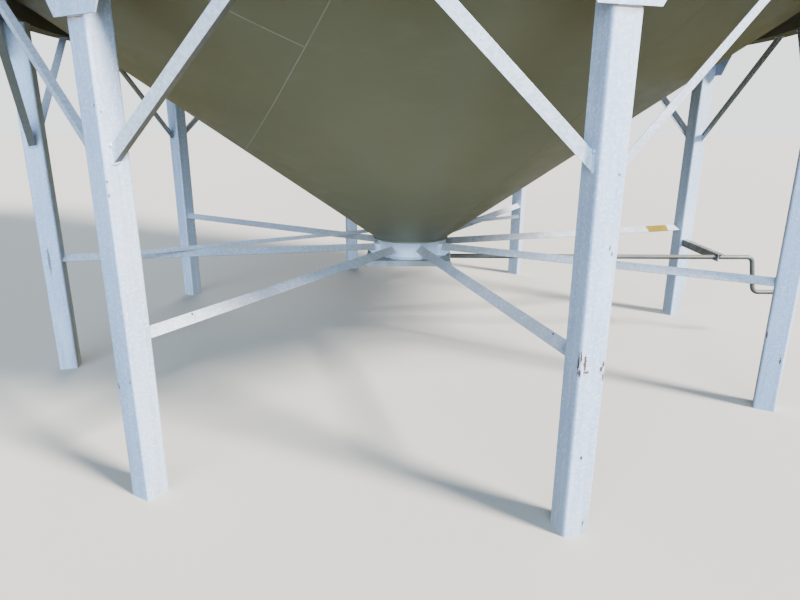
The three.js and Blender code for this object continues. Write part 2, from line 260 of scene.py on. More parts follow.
def set_piece(name, shape, coat, body="silo", stands_for=(), crease=32, move=None):
    """Makes shape into a piece that rides on its body and stands for its solids."""
    mesh = bpy.data.meshes.new(name)
    mesh.from_pydata([tuple(p) for p in shape[0]], [], shape[1])
    work = bmesh.new()
    work.from_mesh(mesh)
    bmesh.ops.remove_doubles(work, verts=work.verts, dist=1e-6)
    bmesh.ops.recalc_face_normals(work, faces=work.faces)
    if move is not None:
        work.transform(move)
    work.to_mesh(mesh)
    work.free()
    mesh.shade_smooth()
    mesh.set_sharp_from_angle(angle=math.radians(crease))
    mesh.materials.append(coat)
    piece = bpy.data.objects.new(name, mesh)
    bpy.context.scene.collection.objects.link(piece)
    piece.modifiers.new("flats stay flat", "WEIGHTED_NORMAL").keep_sharp = True
    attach(piece, body)
    if stands_for:
        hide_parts(*stands_for)
    return piece


# Marks in the paint, each as its place and its half sizes along X, Y and Z: chips down to rusty steel,
# dark scuffs, and the stronger rust stains under two of the gussets.
LEG_CHIPS = [
    ((0.5195, -2.114, 0.670), (0.0035, 0.006, 0.042)), ((0.526, -2.118, 0.634), (0.005, 0.005, 0.014)),
    ((0.5415, -2.116, 0.668), (0.0058, 0.005, 0.038)), ((0.550, -2.114, 0.637), (0.011, 0.005, 0.005)),
    ((0.609, -2.098, 0.661), (0.005, 0.006, 0.013)), ((0.602, -2.100, 0.645), (0.006, 0.005, 0.013)),
    ((0.612, -2.096, 0.616), (0.004, 0.004, 0.016)), ((0.527, -2.118, 0.690), (0.003, 0.005, 0.022)),
    ((-1.120, -1.876, 0.472), (0.004, 0.005, 0.014)), ((-1.061, -1.910, 0.500), (0.006, 0.003, 0.006)),
    ((1.786, -1.081, 0.404), (0.005, 0.005, 0.018)), ((1.851, -1.121, 0.280), (0.005, 0.005, 0.020)),
    ((0.562, -2.111, 0.318), (0.004, 0.004, 0.010)), ((0.593, -2.102, 0.048), (0.004, 0.004, 0.012))]
LEG_SCUFFS = [
    ((-1.046, -1.916, 1.232), (0.005, 0.004, 0.005)), ((-1.045, -1.916, 1.185), (0.004, 0.004, 0.007)),
    ((-1.057, -1.912, 1.476), (0.005, 0.004, 0.006)), ((-1.038, -1.910, 1.455), (0.004, 0.005, 0.004)),
    ((0.588, -2.104, 1.054), (0.004, 0.004, 0.009)), ((0.597, -2.101, 1.034), (0.004, 0.004, 0.010)),
    ((0.594, -2.102, 1.278), (0.005, 0.004, 0.005)), ((-2.057, -0.610, 0.660), (0.008, 0.005, 0.080))]
LEG_STAINS = [(leg_frame(5) @ Vector((LEG_OUTER, 0.018, 1.7395)), (0.022, 0.022, 0.0045)),
              (leg_frame(5) @ Vector((LEG_OUTER, -0.030, 1.7405)), (0.012, 0.012, 0.0025)),
              (leg_frame(6) @ Vector((LEG_OUTER, 0.015, 1.7405)), (0.028, 0.020, 0.0025))]


def leg_paint(name, grime=0.0, painted_whitening=0.0):
    coat = Coat(name, metallic=0.12)
    streak = coat.cloud(9, 5, place=coat.stretched(1, 1, 0.12))
    brushed = coat.cloud(55, 3, place=coat.stretched(1, 1, 0.06))
    mottle = coat.cloud(95, 3)
    pale = coat.mix(coat.grade(coat.cloud(2.3, 3), 0.38, 0.66), tone(180, 197, 224), tone(192, 207, 230))
    combed = coat.mix(coat.grade(brushed, 0.4, 0.66, 0, 0.5), pale, tone(162, 178, 206))
    washed = coat.mix(coat.grade(streak, 0.5, 0.7, 0, 0.6), combed, tone(154, 170, 199))
    flecked = coat.mix(coat.grade(mottle, 0.48, 0.66, 0, 0.7), washed, tone(216, 224, 236))
    # Lightens the paint towards white in streaks by this share: painted light, used on the collar.
    if painted_whitening:
        flecked = coat.mix(coat.grade(streak, 0.35, 0.6, painted_whitening * 0.8, painted_whitening), flecked, tone(230, 234, 238))
    height = coat.axis("Z")
    dust = coat.calc("MULTIPLY", coat.grade(height, 0.35, 0.0, 0, 0.5), coat.grade(streak, 0.4, 0.7))
    darker_low = coat.mix(dust, flecked, tone(150, 146, 128))
    under_gusset = coat.calc("MULTIPLY", coat.grade(height, 1.715, 1.742), coat.grade(height, 1.745, 1.7445))
    outer_face = coat.grade(coat.radius(), 2.1815, 2.183)
    runs = coat.calc("MULTIPLY", outer_face, coat.grade(streak, 0.3, 0.6, 0.25, 0.8))
    stained = coat.mix(coat.calc("MULTIPLY", under_gusset, runs), darker_low, tone(168, 122, 78))
    scuffed = coat.mix(coat.calc("MULTIPLY", coat.marks(LEG_SCUFFS), 0.85), stained, tone(98, 100, 104))
    grime_and_painted_light = coat.mix(coat.grade(streak, 0.3, 0.65, grime * 0.6, grime), scuffed, tone(138, 133, 121))
    grime_and_painted_light = coat.mix(coat.calc("MULTIPLY", coat.marks(LEG_STAINS, 0.4), 0.85), grime_and_painted_light, tone(160, 100, 56))
    chips = coat.marks(LEG_CHIPS, 0.6)
    rust = coat.mix(coat.grade(coat.cloud(260, 4), 0.4, 0.6), tone(70, 50, 44), tone(118, 80, 62))
    specks = coat.calc("MAXIMUM", chips, coat.grade(coat.cloud(38, 6, 0.7), 0.745, 0.765, 0, 0.8))
    chipped = coat.mix(specks, grime_and_painted_light, rust)
    relief = coat.calc("SUBTRACT", coat.calc("ADD", mottle, streak), chips)
    return coat.finish(chipped, coat.grade(mottle, 0.3, 0.7, 0.42, 0.56), relief)


LEG_PAINT = leg_paint("leg_paint")


def weld_paint():
    coat = Coat("weld_paint", metallic=0.12)
    patches = coat.cloud(22, 5, 0.65)
    painted = coat.mix(coat.grade(coat.cloud(60), 0.4, 0.6), tone(178, 190, 208), tone(196, 206, 220))
    rusty = coat.mix(coat.grade(patches, 0.6, 0.72, 0, 0.7), painted, tone(140, 106, 76))
    return coat.finish(rusty, coat.grade(patches, 0.3, 0.7, 0.42, 0.6), patches)


WELD_PAINT = weld_paint()

# Gusset plates: 6 mm plate, cut wider at the top. Each is welded over its leg's outer face and over
# the ring beam, and has the legs' paint.
GUSSET_PLATE = 0.006
GUSSET_LOW = 1.744
GUSSET_SLOPE_TOP = 1.936
GUSSET_TOP = 2.016
GUSSET_LOW_HALF = 0.104
GUSSET_TOP_HALF = 0.215
GUSSET_BITE = 0.0002
half_leg = LEG_WIDTH / 2
half_flat = half_leg - LEG_CORNER
tube = rectangle((-half_leg, -half_leg), (half_leg, half_leg), [LEG_CORNER] * 4, steps=6)
gusset_outline = [(-GUSSET_LOW_HALF, GUSSET_LOW), (GUSSET_LOW_HALF, GUSSET_LOW),
                  (GUSSET_TOP_HALF, GUSSET_SLOPE_TOP), (GUSSET_TOP_HALF, GUSSET_TOP),
                  (-GUSSET_TOP_HALF, GUSSET_TOP), (-GUSSET_TOP_HALF, GUSSET_SLOPE_TOP)]
for index in range(LEG_COUNT):
    name = f"leg_{index + 1}"
    leg = ([], [])
    rings = [[Vector((LEG_CIRCLE + x, y, height)) for x, y in tube] for height in (0.0, RING_LOW - FIT)]
    skin(leg, rings)
    plate(leg, gusset_outline, facing_out(LEG_OUTER - GUSSET_BITE), GUSSET_PLATE)
    set_piece(name + "_tube", leg, LEG_PAINT, stands_for=[name], move=leg_frame(index))
    welds = ([], [])
    bead(welds, [Vector((LEG_CIRCLE + x, y, RING_LOW - 0.001)) for x, y in tube], Vector((0, 0, -1)),
         width=0.008, height=0.005, loop=True)
    bead(welds, [(LEG_OUTER, -half_flat, GUSSET_LOW), (LEG_OUTER, half_flat, GUSSET_LOW)],
         Vector((1, 0, -1)).normalized(), width=0.007, height=0.004)
    bead(welds, [(RING_OUTER, -GUSSET_LOW_HALF, GUSSET_TOP), (RING_OUTER, GUSSET_LOW_HALF, GUSSET_TOP)],
         Vector((1, 0, 1)).normalized(), width=0.009, height=0.005)
    for side in (-1, 1):
        beside = side * (half_flat + 0.006)
        bead(welds, [(LEG_OUTER - 0.002, beside, z) for z in (GUSSET_LOW + 0.004, RING_LOW - 0.004)],
             Vector((-1, side, 0)).normalized(), width=0.008, height=0.004)
    set_piece(name + "_welds", welds, WELD_PAINT, crease=60, move=leg_frame(index))

# Knee braces: angle iron from each side of a leg up to the ring beam, galvanised and welded on.
# A left brace has its heel at the bottom and a right one at the top, and a few were cut from other stock.
# A brace's two flanges, how far out its heel is at the leg and at the ring, and its reach in degrees.
BRACE = {"outer": 0.0445, "inward": 0.028, "foot": 2.154, "top": 2.140, "reach": 18.5}
BRACE_HEEL = {"left": 1.287, "right": 1.345}
BRACE_PLATE = 0.005
BRACE_UPPERMOST = {"left": 20, "right": 1}  # which point of the section's outline is at the top
BRACE_AS_BUILT = {
    "1_right": {"outer": 0.030, "inward": 0.020, "reach": 19.0},
    "5_left": {"inward": 0.038, "top": 2.170, "reach": 17.6},
    "5_right": {"inward": 0.0445, "reach": 15.3},
    "6_left": {"reach": 18.7},
    "6_right": {"outer": 0.024, "inward": 0.031, "top": 2.172, "reach": 18.7, "heel": 1.328},
    "7_left": {"outer": 0.0315, "reach": 19.8, "heel": 1.282},
    "7_right": {"reach": 17.2},
}


def zinc(name, dots=(), stains=(), darkening=0.0):
    coat = Coat(name, metallic=0.25)
    wander = coat.add("TexNoise", "Color", {"Vector": coat.place, "Scale": 30.0})
    bent = coat.add("Mix", 1, {0: 0.012, 4: coat.place, 5: wander}, data_type="VECTOR")
    crystals = coat.add("TexVoronoi", "Color", {"Vector": bent, "Scale": 120.0})
    crystal = coat.add("SeparateColor", 0, {0: crystals})
    fine = coat.cloud(170, 3)
    tinted = coat.mix(coat.grade(coat.cloud(48, 4), 0.42, 0.58), tone(177, 182, 204), tone(184, 191, 195))
    base = coat.mix(coat.grade(crystal, 0.1, 0.95), tinted, tone(201, 208, 219))
    dull = coat.mix(coat.grade(coat.cloud(2.6), 0.46, 0.66, 0, 0.6), base, tone(168, 177, 191))
    bloom = coat.mix(coat.grade(coat.cloud(44, 6, 0.7), 0.56, 0.7, 0, 0.7), dull, tone(224, 228, 234))
    spotted = coat.mix(coat.grade(coat.cloud(60, 6, 0.76), 0.69, 0.75, 0, 0.6), bloom, tone(128, 122, 112))
    near_outlet = coat.grade(coat.radius(), 0.9, 0.26)
    grime = coat.calc("MULTIPLY", near_outlet, coat.grade(coat.cloud(26, 5, 0.65), 0.38, 0.62, 0.35, 1.0))
    grime_and_painted_light = coat.mix(coat.calc("MULTIPLY", grime, 0.7), spotted, tone(180, 165, 140))
    # Faces that point down are darkened towards dark olive: painted shade on the angles' undersides.
    underneath = coat.add("SeparateXYZ", "Z", {0: coat.add("TexCoord", "Normal", {})})
    grime_and_painted_light = coat.mix(coat.grade(underneath, 0.0, -0.55, 0, 0.75), grime_and_painted_light, tone(98, 94, 78))
    if stains:
        grime_and_painted_light = coat.mix(coat.marks(stains, 0.3), grime_and_painted_light, tone(70, 56, 48))
        grime_and_painted_light = coat.mix(coat.marks(dots, 0.1), grime_and_painted_light, tone(240, 242, 245))
    # Darkens the zinc in soft patches by this share; on tie_1 this is painted shade.
    if darkening:
        grime_and_painted_light = coat.mix(coat.grade(coat.cloud(18), 0.35, 0.6, darkening * 0.7, darkening), grime_and_painted_light, tone(84, 78, 70))
    relief = coat.calc("ADD", crystal, fine)
    return coat.finish(grime_and_painted_light, coat.grade(fine, 0.3, 0.7, 0.42, 0.56), relief, depth=0.00003)


ZINC = zinc("weathered_zinc")


def angle_iron(along_u, along_v, thick):
    """Outline of rolled angle: heel at 0, 0, a fillet in the root and round toes."""
    corners = [(0, 0), (along_u, 0), (along_u, thick), (thick, thick), (thick, along_v), (0, along_v)]
    return rounded(corners, [0.0008, 0.0004, thick * 0.45, thick * 0.9, thick * 0.45, 0.0004])


def brace_line(label, side, build):
    """Where a brace runs in its leg's frame: its foot, and the directions along, inward and across."""
    reach = math.radians(build["reach"])
    heel = build.get("heel", BRACE_HEEL[label])
    foot = Vector((build["foot"], side * LEG_WIDTH / 2, heel))
    head = Vector((build["top"] * math.cos(reach), side * build["top"] * math.sin(reach), RING_LOW))
    along = (head - foot).normalized()
    inward = Vector((-along.y * side, along.x * side, 0)).normalized()
    return foot, along, inward, along.cross(inward)


for index in range(LEG_COUNT):
    for label, side in (("left", 1), ("right", -1)):
        build = {**BRACE, **BRACE_AS_BUILT.get(f"{index + 1}_{label}", {})}
        foot, along, inward, lift = brace_line(label, side, build)
        brace = ([], [])
        at_leg = (Vector((0, side * (LEG_WIDTH / 2 + FIT), 0)), Vector((0, 1, 0)))
        at_ring = (Vector((0, 0, RING_LOW - FIT)), Vector((0, 0, 1)))
        section = angle_iron(build["inward"], build["outer"], BRACE_PLATE)
        low_end, high_end = bar(brace, section, foot, inward, lift, at_leg, at_ring)
        name = f"knee_brace_{index + 1}_{label}"
        set_piece(name + "_angle", brace, ZINC, stands_for=[name], move=leg_frame(index))
        welds = ([], [])
        for end, outward in ((low_end, Vector((0, side, 0))), (high_end, Vector((0, 0, -1)))):
            bead(welds, end, outward, width=0.013, height=0.0045, pitch=0.004, loop=True)
        top = low_end[BRACE_UPPERMOST[label]]
        bead(welds, [top + Vector((x, 0, 0)) for x in (-0.009, 0.009)], Vector((0, side, 0.5)).normalized(),
             width=0.018, height=0.008, pitch=0.006)
        set_piece(name + "_welds", welds, WELD_PAINT, crease=60, move=leg_frame(index))

# Ring beam: a 12 cm deep rolled section that sits on the legs and carries the cone and the shell.
# It is four curved lengths butt-welded end to end, and it is painted dark all over: painted shade for the
# shade it sits in under the silo.
RING_INNER = 2.0834
RING_GAP = 0.0004
RING_LENGTHS = 4
CONE_LEAN = math.radians(35)
CONE_SLOPE = math.tan(CONE_LEAN)
CONE_APEX = 0.541


def cone_height(radius):
    return CONE_APEX + CONE_SLOPE * radius


def around(turn, radius, height):
    return Vector((radius * math.cos(turn), radius * math.sin(turn), height))


def away(point):
    """Straight outward from the silo's axis."""
    return Vector((point.x, point.y, 0)).normalized()


def leaning(out, rise):
    """For bead: the direction that leans this much outward for this much rise."""
    return lambda p: (away(p) * out + Vector((0, 0, rise))).normalized()


def turned(shape, profile, steps=256):
    """Adds a closed profile of radius and height, turned once round the silo's axis."""
    skin(shape, [[around(math.tau * step / steps, r, z) for r, z in profile] for step in range(steps)], True)


def hoop(radius, height, steps=128):
    return [around(math.tau * step / steps, radius, height) for step in range(steps)]


def ring_painted_shade():
    coat = Coat("ring_painted_shade", metallic=0.05)
    grain = coat.cloud(120, 3)
    streak = coat.cloud(7, 5, place=coat.stretched(1, 1, 0.15))
    # The dark base colour all over is painted shade.
    base = coat.mix(coat.grade(coat.cloud(2.7), 0.4, 0.65), tone(78, 79, 74), tone(96, 97, 90))
    stained = coat.mix(coat.grade(streak, 0.55, 0.75, 0, 0.6), base, tone(84, 66, 46))
    return coat.finish(stained, coat.grade(grain, 0.3, 0.7, 0.5, 0.66), grain)


RING_PAINTED_SHADE = ring_painted_shade()
ring = ([], [])
ring_seat = (RING_TOP + RING_GAP - CONE_APEX) / CONE_SLOPE
turned(ring, rounded([(RING_INNER, RING_LOW), (RING_OUTER, RING_LOW), (RING_OUTER, RING_TOP),
                      (ring_seat, RING_TOP), (RING_INNER, cone_height(RING_INNER) - RING_GAP)],
                     [0.003, 0.004, 0.003, 0.001, 0.001], steps=2))
for length in range(RING_LENGTHS):
    turn = LEG_TURN + LEG_STEP / 2 + length * math.tau / RING_LENGTHS
    bead(ring, [around(turn, RING_OUTER, z) for z in (RING_LOW + 0.002, RING_TOP - 0.002)],
         around(turn, 1, 0), width=0.009, height=0.0022)
set_piece("ring_beam_rolled", ring, RING_PAINTED_SHADE, stands_for=["ring_beam"])

# Hopper cone: 35 degree cone of parallel strips of plate, welded up flat and then rolled.
# The strips' seams therefore run over it as long slanting curves. It has a satin olive-grey paint.
CONE_PLATE = 0.0073
CONE_RIM = 2.1302
FOOT_RADIUS = 0.246
FOOT_LOW = 0.6995
FOOT_PLATE = 0.006
COLLAR_OUTER = 0.2032
STRIP_TURN = math.radians(158)
STRIP_SEAMS = [1.255, -0.038, -1.331]
CROSS_SEAM = 1.5545
CLOSING_TURN = math.radians(90)
SEAM_WIDTH = 0.0065
SEAM_HEIGHT = 0.0014
SEAM_STEPS = 200
CROSS_STEPS = 40


def bin_paint(name, dark, light, worn):
    coat = Coat(name, specular=0.42)
    brushed = coat.cloud(5.5, 6, 0.6, coat.stretched(1, 1, 3.2))
    base = coat.mix(coat.grade(coat.cloud(1.3), 0.36, 0.66), dark, light)
    strokes = coat.mix(coat.grade(brushed, 0.5, 0.75, 0, 0.35), base, worn)
    scuffed = coat.mix(coat.grade(coat.cloud(24, 7, 0.72), 0.66, 0.74, 0, 0.4), strokes, worn)
    # A thin ring round the cone's foot is darkened: painted shade along the rim.
    painted_shade_at_foot_rim = coat.calc("MULTIPLY", coat.grade(coat.radius(), 0.2475, 0.2465), 0.7)
    scuffed = coat.mix(painted_shade_at_foot_rim, scuffed, tone(58, 56, 44))
    # Darker towards the cone's foot, below 1.2 m.
    darker_low = coat.mix(coat.grade(coat.axis("Z"), 1.2, 0.74, 0, 0.5), scuffed, tone(98, 97, 84))
    dents = coat.calc("MULTIPLY", coat.cloud(1.9, 2), 14.0)
    relief = coat.calc("ADD", dents, coat.calc("ADD", brushed, coat.cloud(190, 2)))
    return coat.finish(darker_low, coat.grade(brushed, 0.3, 0.7, 0.38, 0.5), relief)


BIN_PAINT = bin_paint("bin_paint", tone(128, 126, 101), tone(136, 132, 107), tone(145, 141, 117))
SEAM_PAINT = bin_paint("seam_paint", tone(150, 149, 128), tone(164, 163, 142), tone(176, 175, 156))


def on_cone(distance, across):
    """Where a point of the flat sheet lies once it is rolled up, or None past the closing seam."""
    flat = (STRIP_TURN + math.atan2(across, distance)) % math.tau
    if flat < CLOSING_TURN * math.cos(CONE_LEAN):
        flat += math.tau
    if flat > (CLOSING_TURN + math.tau) * math.cos(CONE_LEAN):
        return None
    radius = math.hypot(distance, across) * math.cos(CONE_LEAN)
    return around(flat / math.cos(CONE_LEAN), radius, cone_height(radius))


def under_cone(point):
    return away(point) * math.sin(CONE_LEAN) - Vector((0, 0, math.cos(CONE_LEAN)))


cone = ([], [])
cone_inner = (FOOT_LOW + FOOT_PLATE - CONE_APEX - CONE_PLATE) / CONE_SLOPE
turned(cone, rounded([(COLLAR_OUTER + FIT, FOOT_LOW), (FOOT_RADIUS, FOOT_LOW),
                      (FOOT_RADIUS, cone_height(FOOT_RADIUS)), (CONE_RIM, cone_height(CONE_RIM)),
                      (CONE_RIM, cone_height(CONE_RIM) + CONE_PLATE), (cone_inner, FOOT_LOW + FOOT_PLATE),
                      (COLLAR_OUTER + FIT, FOOT_LOW + FOOT_PLATE)],
                     [0.001, 0.001, 0.002, 0.001, 0.001, 0.004, 0.001], steps=2))
set_piece("hopper_cone_sheet", cone, BIN_PAINT, stands_for=["hopper_cone", "cone_foot"])
seams, plain_seams = ([], []), ([], [])
sheet_rim = RING_INNER / math.cos(CONE_LEAN)
sheet_foot = FOOT_RADIUS / math.cos(CONE_LEAN)
for distance in STRIP_SEAMS:
    half = math.sqrt(sheet_rim ** 2 - distance ** 2)
    steps = [half * step / SEAM_STEPS for step in range(-SEAM_STEPS, SEAM_STEPS + 1)]
    run = [on_cone(distance, across) for across in steps if math.hypot(distance, across) > sheet_foot]
    bead(seams if distance == STRIP_SEAMS[0] else plain_seams, [p for p in run if p], under_cone,
         SEAM_WIDTH, SEAM_HEIGHT)
cross_end = math.sqrt(sheet_rim ** 2 - CROSS_SEAM ** 2)
cross_run = [on_cone(STRIP_SEAMS[0] + (cross_end - STRIP_SEAMS[0]) * step / CROSS_STEPS, CROSS_SEAM)
             for step in range(CROSS_STEPS + 1)]
bead(seams, cross_run, under_cone, SEAM_WIDTH, SEAM_HEIGHT)
bead(plain_seams, [around(CLOSING_TURN, r, cone_height(r)) for r in (FOOT_RADIUS, RING_INNER)], under_cone,
     SEAM_WIDTH, SEAM_HEIGHT)
set_piece("hopper_cone_seams_chalked", seams, SEAM_PAINT, crease=60)
set_piece("hopper_cone_seams", plain_seams, BIN_PAINT, crease=60)
# The weld under the ring takes the ring's dark paint, which is painted shade.
rim_weld = ([], [])
bead(rim_weld, hoop(RING_INNER - 0.001, cone_height(RING_INNER) - 0.001),
     leaning(-1, -1), width=0.014, height=0.006, pitch=0.01, loop=True)
set_piece("cone_to_ring_weld", rim_weld, RING_PAINTED_SHADE, crease=60)

# Outlet collar: a short 16 in pipe, flared at the top and welded up under the cone's foot.
# A flat flange runs round its foot with an upright lug for each tie. All of it is in the legs' paint,
# lightened towards white in streaks as painted light.
COLLAR_INNER = 0.1972
COLLAR_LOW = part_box("outlet_collar")[0].z
COLLAR_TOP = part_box("outlet_collar")[1].z
FLARE_LOW = 0.636
FLARE_OUT = 0.041
FLARE_CURVE = 2.4
FLARE_STEPS = 12
FLANGE_OUTER = 0.236
FLANGE_PLATE = 0.006
LUG_END = 0.285
LUG_PLATE = 0.006
LUG_CUT_OUT = 0.03
LUG_CUT_UP = 0.025
TIE_PLATE = 0.0048
TIE_HEELS = [(0.683, 0.701), (0.673, 0.688), (0.678, 0.690), (0.681, 0.695),
             (0.667, 0.688), (0.675, 0.679), (0.686, 0.690), (0.681, 0.693)]

# The collar's paint is lightened towards white: painted light.
COLLAR_PAINT = leg_paint("collar_paint", painted_whitening=0.75)
collar = ([], [])
turned(collar, rectangle((COLLAR_INNER, COLLAR_LOW), (COLLAR_OUTER, COLLAR_TOP), [0.001] * 4), steps=128)
flare_top = FOOT_LOW - FIT
flare = [(COLLAR_OUTER - 0.001, flare_top), (COLLAR_OUTER - 0.001, FLARE_LOW)]
for step in range(FLARE_STEPS + 1):
    flare_radius = COLLAR_OUTER + FLARE_OUT * (step / FLARE_STEPS) ** FLARE_CURVE
    flare.append((flare_radius, FLARE_LOW + (flare_top - FLARE_LOW) * step / FLARE_STEPS))
turned(collar, flare, steps=128)
bead(collar, hoop(COLLAR_OUTER + 0.0005, COLLAR_LOW + FLANGE_PLATE + 0.0005), leaning(1, 1),
     width=0.007, height=0.003, loop=True)
set_piece("outlet_collar_pipe", collar, COLLAR_PAINT, stands_for=["outlet_collar"])
flange = ([], [])
flange_top = COLLAR_LOW + FLANGE_PLATE
turned(flange, rectangle((COLLAR_OUTER + FIT, COLLAR_LOW), (FLANGE_OUTER, flange_top),
                         [0.0005, 0.0012, 0.0012, 0.0005]), steps=128)
lug_inner = COLLAR_OUTER + 2 * FIT
lug_low = flange_top - 0.001
for index, heels in enumerate(TIE_HEELS):
    under_tie = heels[0] - TIE_PLATE * math.sqrt(2) - LUG_PLATE / 2 - FIT
    outline = rounded([(lug_inner, lug_low), (LUG_END - LUG_CUT_OUT, lug_low),
                       (LUG_END, flange_top + LUG_CUT_UP), (LUG_END, under_tie), (lug_inner, under_tie)],
                      [0.001, 0.004, 0.004, 0.002, 0.001])
    upright = Matrix(((1, 0, 0, 0), (0, 0, -1, LUG_PLATE / 2), (0, 1, 0, 0), (0, 0, 0, 1)))
    plate(flange, outline, leg_frame(index) @ upright, LUG_PLATE)
set_piece("outlet_flange_lugs", flange, COLLAR_PAINT, stands_for=["outlet_flange"])

# Gate frame: side rails, a back bar and folded sheet, bolted at its corners, with the gate's channel
# inside. It is welded up under the flange and has the same pale paint.
FRAME_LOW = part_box("gate_frame")[0]
FRAME_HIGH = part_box("gate_frame")[1]
FRAME_WALL = 0.018
FRAME_SHEET = 0.004
FRAME_LIP = 0.040
FRAME_BOLTS = [(-0.258, 0.585), (0.237, 0.579)]
FRAME_BOLT_SIZE = 0.012
BORE_STEPS = 96


def flat_bar(shape, low, high, corner=0.001):
    """A flat bar or plate that fills a box, with its corners and edges eased."""
    plate(shape, rectangle(low, high, [corner] * 4), Matrix.Translation((0, 0, low[2])), high[2] - low[2])


def bolt(shape, at, axis, across):
    """A hexagon head on a washer. Each ring has its size and its height, in shares of across."""
    first = axis.orthogonal().normalized()
    second = axis.cross(first)
    for sides, levels in ((24, ((1.3, 0.0), (1.3, 0.1))), (6, ((1.15, 0.1), (1.15, 0.42), (0.95, 0.5)))):
        skin(shape, [[at + (first * c + second * s) * (across / 2 * size) + axis * (across * height)
                      for c, s in circle(sides)] for size, height in levels])


gate_frame = ([], [])
wall_y = FRAME_HIGH.y - FRAME_WALL
wall_x = FRAME_LOW.x + FRAME_WALL
for side in (-1, 1):
    near, far = sorted((side * wall_y, side * FRAME_HIGH.y))
    flat_bar(gate_frame, (FRAME_LOW.x, near, FRAME_LOW.z), (FRAME_HIGH.x, far, FRAME_HIGH.z))
    near, far = sorted((side * (FRAME_HIGH.y - FRAME_LIP), side * wall_y))
    flat_bar(gate_frame, (wall_x, near, FRAME_LOW.z), (FRAME_HIGH.x, far, FRAME_LOW.z + FRAME_SHEET))
    for x, z in FRAME_BOLTS:
        bolt(gate_frame, Vector((x, side * FRAME_HIGH.y, z)), Vector((0, side, 0)), FRAME_BOLT_SIZE)
flat_bar(gate_frame, (FRAME_LOW.x, -wall_y, FRAME_LOW.z), (wall_x, wall_y, FRAME_HIGH.z))
flat_bar(gate_frame, (wall_x, FRAME_LIP - FRAME_HIGH.y, FRAME_LOW.z),
         (FRAME_LOW.x + FRAME_LIP, FRAME_HIGH.y - FRAME_LIP, FRAME_LOW.z + FRAME_SHEET))
corners = [math.atan2(y, x) for x in (wall_x, FRAME_HIGH.x) for y in (-wall_y, wall_y)]
turns = sorted(corners + [math.tau * step / BORE_STEPS - math.pi for step in range(BORE_STEPS)])
bore = [around(turn, COLLAR_INNER, 0) for turn in turns]
edge = []
for turn in turns:
    reach_x = (FRAME_HIGH.x if math.cos(turn) > 0 else -wall_x) / max(abs(math.cos(turn)), 1e-6)
    edge.append(around(turn, min(reach_x, wall_y / max(abs(math.sin(turn)), 1e-6)), 0))
top, bottom = (Vector((0, 0, z)) for z in (FRAME_HIGH.z, FRAME_HIGH.z - FRAME_SHEET))
skin(gate_frame, [[p + top for p in bore], [p + top for p in edge], [p + bottom for p in edge],
                  [p + bottom for p in bore]], True)
bead(gate_frame, hoop(FLANGE_OUTER - 0.0005, COLLAR_LOW), away, width=0.004, height=0.0025, pitch=0.006,
     loop=True)
FRAME_PAINT = leg_paint("frame_paint", grime=0.95)
set_piece("gate_frame_welded", gate_frame, FRAME_PAINT, stands_for=["gate_frame"])

# Gate: a plain steel plate that slides in the frame's channel, with a lug that the rod pushes on.
# It was left unpainted and has dulled.
GATE_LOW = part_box("gate_slide")[0]
GATE_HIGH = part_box("gate_slide")[1]
GATE_PLATE = 0.006
GATE_PLATE_LOW = 0.5633
GATE_LUG = 0.008
GATE_LUG_HALF = 0.035


def bare_plate():
    coat = Coat("bare_plate", metallic=0.75)
    scratches = coat.cloud(30, 8, 0.7, coat.stretched(0.15, 1, 1))
    grain = coat.cloud(140, 3)
    base = coat.mix(coat.grade(coat.cloud(4.1), 0.4, 0.65), tone(150, 150, 148), tone(170, 171, 170))
    worn = coat.mix(coat.grade(scratches, 0.5, 0.8, 0, 0.5), base, tone(196, 197, 198))
    rusty = coat.mix(coat.grade(coat.cloud(16, 7, 0.7), 0.56, 0.7, 0, 0.7), worn, tone(124, 92, 66))
    return coat.finish(rusty, coat.grade(grain, 0.3, 0.7, 0.36, 0.56), scratches)


BARE_PLATE = bare_plate()
gate = ([], [])
lug_face = GATE_HIGH.x - GATE_LUG
flat_bar(gate, (GATE_LOW.x, GATE_LOW.y, GATE_PLATE_LOW), (lug_face, GATE_HIGH.y, GATE_PLATE_LOW + GATE_PLATE),
         0.004)
lug_outline = rectangle((-GATE_LUG_HALF, GATE_LOW.z), (GATE_LUG_HALF, GATE_HIGH.z),
                        [0.004, 0.004, 0.010, 0.010], steps=4)
plate(gate, lug_outline, facing_out(lug_face), GATE_LUG)
set_piece("gate_plate", gate, BARE_PLATE, body="gate", stands_for=["gate_slide"])

# Ties: 2 in galvanised angle, heel up, from a lug on the outlet collar to each leg's inner face.
# Each was set by hand, so its heel's height differs at the collar and at the leg.
TIE_FLANGE = 0.0508
TIE_INNER = 0.245


def tie_mark(tie, out, side, drop, size=0.004):
    """A spot on a tie's flange, this far out from the silo's axis and this far below the heel."""
    low, high = TIE_HEELS[tie - 1]
    heel = low + (high - low) * (out - TIE_INNER) / (LEG_INNER - TIE_INNER)
    return (leg_frame(tie - 1) @ Vector((out, side * drop, heel - drop)), (size,) * 3)


def tie_line(heels):
    """Where a tie's heel starts in its leg's frame, and the directions of its two flanges."""
    start = Vector((TIE_INNER, 0, heels[0]))
    along = (Vector((LEG_INNER - FIT, 0, heels[1])) - start).normalized()
    left = Vector((0, 1, -1)).normalized()
    right = left.cross(along).normalized()
    return start, along, right, along.cross(right)


